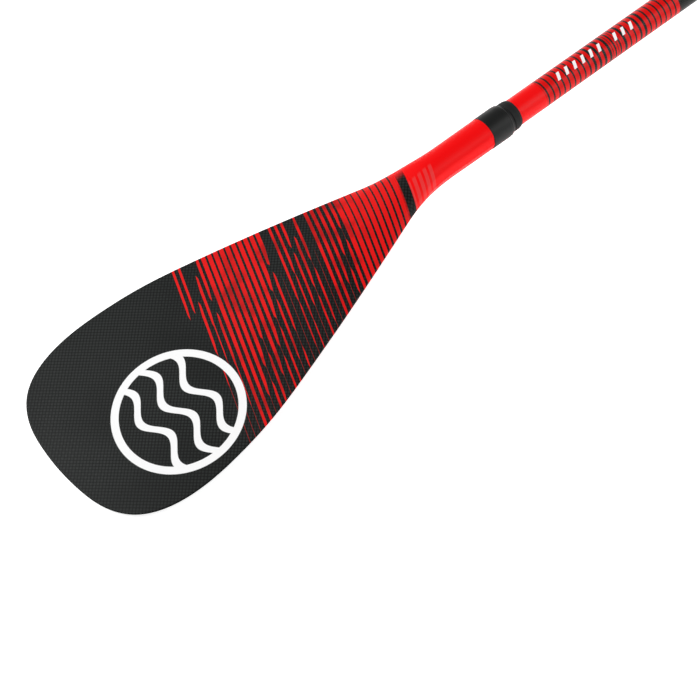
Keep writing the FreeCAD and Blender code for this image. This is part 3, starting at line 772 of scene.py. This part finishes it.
def shaft_finish():
    finish = Finish("shaft_print", Specular_IOR_Level=0.16)
    weave = round_weave(finish, SHAFT_R, TOWS_ROUND_SHAFT)
    base = carbon(finish, weave, 0.28)
    x = finish.x
    phase = ((x - RING_PHASE) / RING_PITCH + 0.5).math("FRACT")
    from_line = (phase - 0.5).math("ABSOLUTE")
    thick = None
    for first, last in THICK_RINGS:
        window = x.within(first, last, 1.0)
        thick = window if thick is None else thick.either(window)
    half_line = thick * RING_EXTRA_SHARE + RING_HALF_SHARE
    between = from_line.inverse().below(0.5 + DOUBLE_RING_HALF_SHARE, 0.02) * x.within(*DOUBLE_RINGS, 0.5)
    ringed = x.rise(RING_START, RING_START + 1.0)
    black = from_line.below(half_line, 0.02).either(between) * ringed
    black = black.either((x + finish.y * BARE_SLANT).rise(BARE_CARBON, BARE_CARBON + 0.6))
    arc = (finish.y.math("ARCTAN2", finish.z) - MARK_TURN) * SHAFT_R
    step = (x - arc * MARK_SLANT - MARK_START) / MARK_PITCH
    bar = ((step + 0.5).math("FRACT") - 0.5).math("ABSOLUTE")
    mark = bar.below(MARK_HALF / MARK_PITCH, 0.01) * arc.near(0.0, MARK_REACH, 0.15)
    mark = mark * step.within(*MARK_STEPS, 0.01) * step.within(*MARK_GAP, 0.01).inverse()
    red = finish.mix(ringed, NECK_RED, RING_RED)
    finish.colour(finish.mix(mark, finish.mix(black, red, base), WHITE))
    finish.bump(weave.math("ABSOLUTE") * black, 0.03, 0.5)
    return finish.material


def ticks(finish, step, half, turn):
    """White ticks on the extension's upper side, a step apart."""
    place = ((finish.x - SCALE_ZERO) / step + 0.5).math("FRACT") - 0.5
    around = finish.y.math("ARCTAN2", finish.z)
    return (place * step).math("ABSOLUTE").rise(half, half + 0.15, 1.0, 0.0) * around.near(0.0, turn, 0.01)


def extension_finish():
    finish = Finish("extension_carbon", Specular_IOR_Level=0.3)
    weave = round_weave(finish, EXTENSION_R, TOWS_ROUND_EXTENSION)
    base = carbon(finish, weave, 0.26)
    short = ticks(finish, TICK_STEP, TICK_HALF, TICK_TURN)
    long = ticks(finish, LONG_TICK_STEP, LONG_TICK_HALF, LONG_TICK_TURN)
    marks = short.either(long) * finish.x.within(SCALE_START, SCALE_END)
    finish.colour(finish.mix(marks, base, WHITE))
    finish.bump(weave.math("ABSOLUTE"), 0.03, 0.4)
    return finish.material


def moulded(name, colour, roughness, grain=0.35, depth=0.02, **constants):
    """Moulded plastic or rubber: one colour with faint clouds, a fine grain and uneven gloss."""
    finish = Finish(name, **constants)
    cloud = finish.noise(18.0, 3.0)
    fine = finish.noise(grain, 1.0)
    darker = (*[(1.0 - CLOUDINESS) * part for part in colour[:3]], 1.0)
    lighter = (*[min((1.0 + CLOUDINESS) * part, 1.0) for part in colour[:3]], 1.0)
    finish.colour(finish.mix(cloud.rise(0.3, 0.7), darker, lighter))
    finish.roughness(cloud * 0.14 + fine * 0.08 + (roughness - 0.1))
    finish.bump(fine, depth, 0.5)
    return finish.material


def steel_finish():
    finish = Finish("steel", Metallic=1.0)
    lines = finish.noise(2.0, 3.0, (4.0, 0.3, 0.3))
    finish.colour(finish.mix(lines, paint(168, 170, 172), paint(208, 209, 210)))
    finish.roughness(lines * 0.2 + 0.2)
    finish.bump(lines, 0.006, 0.4)
    return finish.material


# ---- Everything in its place ----

blade_material = blade_finish()
shaft_material = shaft_finish()
extension_material = extension_finish()
black_material = moulded("black_plastic", BLACK_PLASTIC, 0.46, Specular_IOR_Level=0.3)
lever_material = moulded("red_plastic", paint(214, 18, 22), 0.36, Coat_Weight=0.2, Coat_Roughness=0.2)
nylon_material = moulded("nylon", paint(205, 203, 195), 0.42, Subsurface_Weight=0.05)
foam_material = moulded("foam", paint(214, 196, 150), 0.9, grain=0.8, depth=0.2)
rubber_material = moulded("rubber", paint(15, 16, 16), 0.66, grain=0.3, depth=0.03, Specular_IOR_Level=0.3)
soft_material = moulded("soft_grip", paint(34, 35, 36), 0.72, grain=0.5, depth=0.05, Sheen_Weight=0.2)
steel_material = steel_finish()

NODE_FINISH = {
    "blade_core": foam_material, "neck_plug": rubber_material, "neck_tube": extension_material,
    "main_shaft": shaft_material, "shaft_plug": rubber_material, "snap_button": steel_material,
    "snap_spring": steel_material, "clamp_body": black_material, "clamp_sleeve": nylon_material,
    "clamp_bolt": steel_material, "clamp_washers": steel_material, "clamp_nut": steel_material,
    "lever_pin": steel_material, "clamp_lever": lever_material, "guide_bush": nylon_material,
    "grip_front_shell": black_material, "grip_back_shell": black_material, "grip_core": foam_material,
    "grip_pad": soft_material, "handle_spigot": black_material, "stem_rivets": steel_material,
    "extension_tube": extension_material, "neck_collar": black_material, "stop_ring": rubber_material,
    "blade_power_skin": blade_material, "blade_back_skin": blade_material,
}
for node_name, node in frame["nodes"].items():
    node.data.materials.clear()
    node.data.materials.append(NODE_FINISH[node_name])

dress(make_blade(), blade_material, "blade", "carbon_blade", "blade_power_skin", "blade_back_skin")

collar = turned("collar_sleeve", COLLAR_OUTLINE)
cut_hole(collar, BUTTON_X, BUTTON_HOLE_R)
dress(collar, black_material, "blade", "black_plastic", "neck_collar")
ring = turned("stop_sleeve", STOP_OUTLINE)
dress(ring, rubber_material, "shaft", "rubber", "stop_ring")

main_tube = tube("shaft_tube", SHAFT_R, SHAFT_BORE, SHAFT_START, SHAFT_END)
cut_hole(main_tube, BUTTON_X, SHAFT_HOLE_R)
dress(main_tube, shaft_material, "shaft", "shaft_laminate", "main_shaft")
upper_tube = tube("extension_shaft", EXTENSION_R, EXTENSION_BORE, EXTENSION_START, EXTENSION_END)
for rivet_x in RIVET_X:
    for side in (-1.0, 1.0):
        cut_hole(upper_tube, rivet_x, RIVET_R, (0.0, side, 0.0))
dress(upper_tube, extension_material, "extension", "carbon_tube", "extension_tube")

spring = bpy.data.objects.new("snap_leaf_spring", frame["nodes"]["snap_spring"].data.copy())
bpy.context.scene.collection.objects.link(spring)
dress(spring, steel_material, "shaft", "steel", "snap_spring")
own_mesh(spring)

clamp = moulding("clamp_body", "clamp_housing", 0.5, 5)
reshape(clamp, add_clamp_rings)
dress(clamp, black_material, "shaft", "black_plastic", "clamp_body")
lever = moulding("clamp_lever", "lever_arm", 0.4, 6)
reshape(lever, add_lever_ribs)
dress(lever, lever_material, "clamp_lever", "red_plastic", "clamp_lever")
front, back = make_grip()
dress(front, black_material, "extension", "black_plastic", "grip_front_shell")
dress(back, black_material, "extension", "black_plastic", "grip_back_shell")
dress(make_pad(), soft_material, "extension", "soft_grip", "grip_pad")

# ---- Camera, floor and light ----
CAMERA_PLACE = (-799.7, -789.9, 1314.6)
CAMERA_LOOK = (0.3386, 0.4341, -0.8348)
CAMERA_UP = (0.5578, 0.6219, 0.5496)
CAMERA_LENS, CAMERA_SENSOR = 88.39, 36.0
FLOOR_HALF, FLOOR_GAP = 8.0, 0.0005
FLOOR_WHITE, FLOOR_ROUGHNESS, FLOOR_GLOW = 0.92, 0.9, 0.72
WORLD_LOW, WORLD_HIGH = 0.8, 0.28

look = (TURN @ Vector(CAMERA_LOOK)).normalized()
right = look.cross(TURN @ Vector(CAMERA_UP)).normalized()
up = right.cross(look)
camera_data = bpy.data.cameras.new("camera")
camera_data.lens = CAMERA_LENS
camera_data.sensor_width = CAMERA_SENSOR
camera = bpy.data.objects.new("camera", camera_data)
bpy.context.scene.collection.objects.link(camera)
camera_turn = Matrix((right, up, -look)).transposed().to_4x4()
camera.matrix_world = Matrix.Translation(SHAFT_FRAME @ Vector(CAMERA_PLACE)) @ camera_turn
bpy.context.scene.camera = camera

corners = [(x * FLOOR_HALF, y * FLOOR_HALF, 0.0) for x, y in ((-1, -1), (1, -1), (1, 1), (-1, 1))]
floor_mesh = bpy.data.meshes.new("floor")
floor_mesh.from_pydata(corners, [], [(0, 1, 2, 3)])
floor = bpy.data.objects.new("floor", floor_mesh)
floor.location.z = -FLOOR_GAP
bpy.context.scene.collection.objects.link(floor)
floor_material = bpy.data.materials.new("floor")
floor_material.use_nodes = True
floor_shader = floor_material.node_tree.nodes["Principled BSDF"].inputs
floor_shader["Base Color"].default_value = (FLOOR_WHITE, FLOOR_WHITE, FLOOR_WHITE, 1.0)
floor_shader["Roughness"].default_value = FLOOR_ROUGHNESS
floor_shader["Emission Color"].default_value = (1.0, 1.0, 1.0, 1.0)
floor_shader["Emission Strength"].default_value = FLOOR_GLOW
floor_mesh.materials.append(floor_material)


def area_light(name, place, target, size, power):
    """A round soft light that looks at the target; lengths in metres, power in watts."""
    data = bpy.data.lights.new(name, "AREA")
    data.shape = "DISK"
    data.size = size
    data.energy = power
    light = bpy.data.objects.new(name, data)
    bpy.context.scene.collection.objects.link(light)
    light.location = place
    light.rotation_euler = (Vector(target) - Vector(place)).to_track_quat("-Z", "Y").to_euler()


area_light("key", place=(-1.6, 1.6, 2.2), target=(-0.3, 0.0, 0.0), size=1.6, power=52.0)
area_light("fill", place=(1.2, -1.8, 1.8), target=(0.0, 0.0, 0.0), size=2.0, power=24.0)

# Soft light from all round, brightest at the horizon.
world = bpy.data.worlds.new("studio")
world.use_nodes = True
sky = world.node_tree.nodes["Background"]
sky.inputs["Color"].default_value = (1.0, 1.0, 1.0, 1.0)
direction = world.node_tree.nodes.new("ShaderNodeTexCoord")
height = world.node_tree.nodes.new("ShaderNodeSeparateXYZ")
world.node_tree.links.new(direction.outputs["Generated"], height.inputs[0])
brightness = Signal(world.node_tree, height.outputs[2]).rise(0.0, 0.8, WORLD_LOW, WORLD_HIGH)
feed(world.node_tree, sky.inputs["Strength"], brightness)
bpy.context.scene.world = world
bpy.context.scene.view_settings.view_transform = "Standard"
